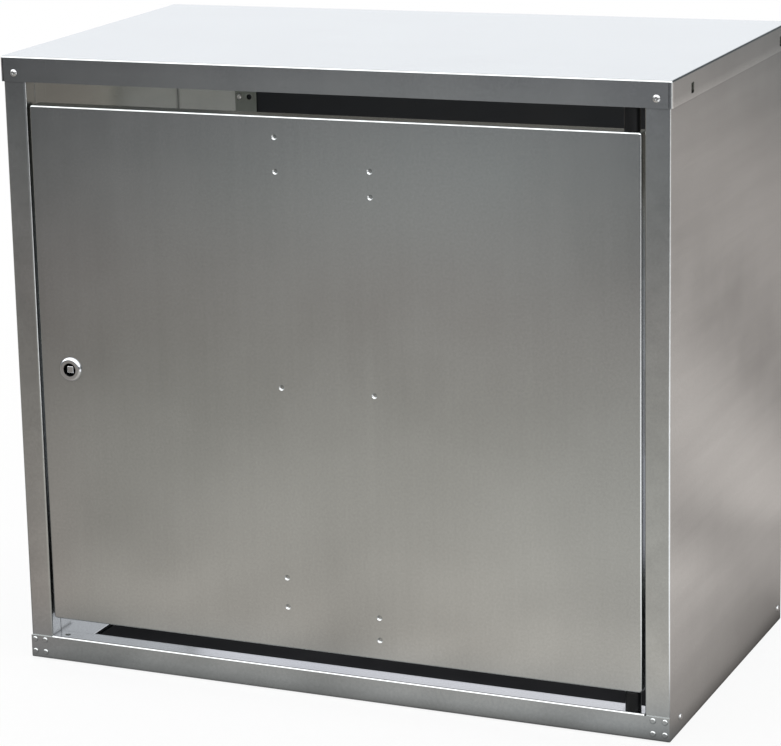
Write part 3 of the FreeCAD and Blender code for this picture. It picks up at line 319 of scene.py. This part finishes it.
# far off: dark to the right, a light patch in front of the middle, and darker to the left
farRight = ramp(tree, distance, [
    (0.42, 0.0, plainGrey), (0.5, 0.44, plainGrey), (0.62, 0.66, plainGrey), (0.84, 0.0, plainGrey)])
toRight = add(tree, "MapRange", {"Value": along, "From Min": 0.66, "From Max": 0.86}, **soft).outputs[0]
farRight = product(tree, farRight, toRight)
farTone = add(tree, "Math", {0: 1.0, 1: farRight}, operation="SUBTRACT").outputs[0]
farLight = ramp(tree, distance, [
    (0.54, 0.0, plainGrey), (0.64, 0.5, plainGrey), (0.72, 0.5, plainGrey), (0.82, 0.0, plainGrey)])
toMiddle = ramp(tree, along, [
    (0.3, 0.0, plainGrey), (0.5, 0.7, plainGrey), (0.64, 1.0, plainGrey), (0.78, 0.0, plainGrey)])
farTone = add(tree, "Math", {0: farLight, 1: toMiddle, 2: farTone}, operation="MULTIPLY_ADD").outputs[0]
farLeft = add(tree, "MapRange", {"Value": distance, "From Min": 0.4, "From Max": 0.55}, **soft).outputs[0]
toLeft = add(tree, "MapRange", {"Value": along, "From Min": 0.2, "From Max": 0.0}, **soft).outputs[0]
farLeft = product(tree, farLeft, toLeft)
farTone = add(tree, "Math", {
    0: farLeft, 1: -ground["leftLoss"], 2: farTone}, operation="MULTIPLY_ADD").outputs[0]
frontValue = add(tree, "VectorMath", {0: frontValue, "Scale": farTone}, operation="SCALE").outputs[0]
blotch = span(tree, noise(tree, position, 0.3, 1.0), 0.88, 1.12)
# close to the door the stains are smaller and stronger, because the sheet mirrors near things more sharply
stain = span(tree, noise(tree, position, 0.11, 2.0, (1, 1.6, 1)), 0.82, 1.18)
close = add(tree, "MapRange", {"Value": away, "From Min": 0.9, "From Max": 0.3}, **soft).outputs[0]
stain = add(tree, "Mix", {"Factor": close, "A": 1.0, "B": stain}, data_type="FLOAT").outputs["Result"]
blotch = product(tree, blotch, stain)
frontValue = add(tree, "VectorMath", {0: frontValue, "Scale": blotch}, operation="SCALE").outputs[0]
# to the right: a light band that runs diagonally away from the cabinet
band = add(tree, "Math", {
    0: placeY, 1: ground["bandSlope"], 2: ground["bandStart"]}, operation="MULTIPLY_ADD").outputs[0]
band = add(tree, "Math", {0: placeX, 1: band}, operation="ADD").outputs[0]
band = add(tree, "MapRange", {"Value": band, "From Min": 0.3, "From Max": -1.0}).outputs[0]
sideTone = ramp(tree, band, [
    (0.0, 0.60, sideWarm), (0.07, 0.57, sideWarm), (0.145, 0.45, sideWarm), (0.21, 0.70, sideWarm),
    (0.3, 0.54, sideWarm), (0.39, 0.19, sideWarm), (0.5, 0.45, sideWarm), (0.72, 0.42, sideWarm),
    (0.86, 0.29, sideWarm), (1.0, 0.20, plainGrey)])
# across that band, a light strip and a dark one beside the cabinet's back, and a painted shadow close under
# its side
acrossBand = add(tree, "MapRange", {"Value": placeY, "From Min": 0.1, "From Max": 0.7}).outputs[0]
acrossBand = ramp(tree, acrossBand, [
    (0.1, 1.0, plainGrey), (0.32, 1.14, plainGrey), (0.48, 1.0, plainGrey), (0.65, 0.8, plainGrey),
    (0.85, 1.0, plainGrey)])
sideTone = add(tree, "VectorMath", {0: sideTone, 1: acrossBand}, operation="MULTIPLY").outputs[0]
# painted shadow on the floor under the cabinet's right side, as reflections see it
paintedSideShadow = add(tree, "MapRange", {"Value": placeX, "From Min": 0.35, "From Max": 0.48}).outputs[0]
paintedSideShadow = ramp(tree, paintedSideShadow, [(0.0, 0.22, plainGrey), (0.12, 0.54, plainGrey), (1.0, 1.0, plainGrey)])
sideTone = add(tree, "VectorMath", {0: sideTone, 1: paintedSideShadow}, operation="MULTIPLY").outputs[0]
# light ground off the right front corner, which the upright edges mirror; plain grey behind and to the left
rightEdge = add(tree, "MapRange", {"Value": placeX, "From Min": 0.42, "From Max": 0.6}, **soft).outputs[0]
nearEdge = add(tree, "MapRange", {"Value": placeY, "From Min": -1.7, "From Max": -1.2}, **soft).outputs[0]
lightGround = product(tree, rightEdge, nearEdge)
frontValue = add(tree, "Mix", {
    "Factor": lightGround, "A": frontValue, "B": (1.5, 1.5, 1.55, 1)}, data_type="RGBA")
leftBack = add(tree, "MapRange", {"Value": placeX, "From Min": 0.3, "From Max": -0.3}, **soft).outputs[0]
backValue = add(tree, "Mix", {
    "Factor": leftBack, "A": sideTone, "B": (0.46, 0.46, 0.46, 1)}, data_type="RGBA")
beside = add(tree, "MapRange", {"Value": placeY, "From Min": -0.25, "From Max": -0.10}, **soft).outputs[0]
mirrored = add(tree, "Mix", {
    "Factor": beside, "A": frontValue.outputs["Result"], "B": backValue.outputs["Result"]}, data_type="RGBA")
mirroredGlow = add(tree, "Emission", {"Color": mirrored.outputs["Result"], "Strength": 1.0})
white = add(tree, "Emission", {"Color": (1, 1, 1, 1), "Strength": 1.0})
plain = add(tree, "BsdfDiffuse", {"Color": (1, 1, 1, 1)})
seen = add(tree, "MixShader", {"Fac": 1 - ground["shadow"], 1: plain.outputs[0], 2: white.outputs[0]})
other = add(tree, "MixShader", {
    "Fac": path.outputs["Is Glossy Ray"], 1: plain.outputs[0], 2: mirroredGlow.outputs[0]})
either = add(tree, "MixShader", {
    "Fac": path.outputs["Is Camera Ray"], 1: other.outputs[0], 2: seen.outputs[0]})
finishMaterial(tree, either)
floorMesh.materials.append(floorFinish)

# world: white to the camera and to matt surfaces; to reflections a light sky, brightest high in front, with a
# low dark hedge in front and a dark wall behind to the right, which draw the white folds and the thin dark
# lines beside them
world = bpy.data.worlds.new("whiteWorld")
world.use_nodes = True
bpy.context.scene.world = world
tree = world.node_tree
tree.nodes.clear()
path = add(tree, "LightPath")
aim = add(tree, "SeparateXYZ", {0: add(tree, "TexCoord").outputs["Generated"]})
aimBands = {  # how each region fades in: the axis looked at, and where it begins and is whole
    "front": ("Y", 0.1, -0.2), "low": ("Z", 0.28, 0.12), "high": ("Z", 0.2, 0.35),
    "right": ("X", -0.06, 0.1), "rear": ("Y", 0.3, 0.5), "wallHigh": ("Z", 0.7, 0.55),
}
region = {}
for name, (axis, begin, whole) in aimBands.items():
    region[name] = add(tree, "MapRange", {
        "Value": aim.outputs[axis], "From Min": begin, "From Max": whole}, **soft).outputs[0]
brightSky = product(tree, region["front"], region["high"])
sky = add(tree, "Mix", {
    "Factor": brightSky, "A": (1.10, 1.12, 1.17, 1), "B": (2.5, 2.5, 2.55, 1)}, data_type="RGBA")
hedge = product(tree, region["front"], region["low"])
sky = add(tree, "Mix", {
    "Factor": hedge, "A": sky.outputs["Result"], "B": (0.2, 0.21, 0.21, 1)}, data_type="RGBA")
wall = product(tree, product(tree, region["right"], region["rear"]), region["wallHigh"])
sky = add(tree, "Mix", {
    "Factor": wall, "A": sky.outputs["Result"], "B": (0.1, 0.11, 0.12, 1)}, data_type="RGBA")
seen = add(tree, "Mix", {
    "Factor": path.outputs["Is Glossy Ray"], "A": (1, 1, 1, 1), "B": sky.outputs["Result"]}, data_type="RGBA")
seen = add(tree, "Mix", {
    "Factor": path.outputs["Is Camera Ray"], "A": seen.outputs["Result"], "B": (1, 1, 1, 1)}, data_type="RGBA")
glow = add(tree, "Background", {"Color": seen.outputs["Result"], "Strength": 1.0})
tree.links.new(glow.outputs[0], add(tree, "OutputWorld").inputs["Surface"])
bpy.context.scene.view_settings.view_transform = "Standard"

# light inside the cabinet as the photograph shows it: at the back it is bright low down, which the floor's rim
# mirrors, and fades upward in steps, so that the walls mirror no outline; a dim brown one behind the door
# lights the back wall, and one before the black cover keeps the side walls from mirroring it; each row is
# name, width, height, middle height, depth, way it faces, radiance and colour
inside = {"wide": 0.69, "low": 0.05, "back": 0.186, "gap": 0.003, "shortest": 0.14, "step": 0.06, "steps": 5}
coverLow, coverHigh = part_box("service_cover")
coverWide, coverTall = coverHigh[0] - coverLow[0], coverHigh[2] - coverLow[2]
brownLight, blueLight = (1.0, 0.91, 0.80), (0.94, 0.94, 1.05)
insideLights = [
    ("doorBackGlow", inside["wide"], 0.50, 0.33, -0.172, 1, 0.22, brownLight),
    ("coverGlow", coverWide, coverTall, (coverLow[2] + coverHigh[2]) / 2, 0.165, -1, 0.20, brownLight),
]
# a gap in depth between the steps, because a reflected ray counts only one lamp of a plane
for step in range(inside["steps"]):
    tall = inside["shortest"] + inside["step"] * step
    depth = inside["back"] - inside["gap"] * step
    insideLights.append((
        f"lowBackGlow{step}", inside["wide"], tall, inside["low"] + tall / 2, depth, -1, 0.17, blueLight))
for name, wide, tall, middle, depth, facing, radiance, colour in insideLights:
    light = bpy.data.lights.new(name, "AREA")
    light.shape = "RECTANGLE"
    light.size = wide
    light.size_y = tall
    light.color = colour
    light.energy = radiance * math.pi * wide * tall
    lamp = bpy.data.objects.new(name, light)
    aimed = Matrix.Rotation(facing * math.pi / 2, 4, "X")
    lamp.matrix_world = Matrix.Translation((0.0, depth, middle)) @ aimed
    lamp.visible_camera = False
    bpy.context.collection.objects.link(lamp)
print("camera, floor, world and light set")
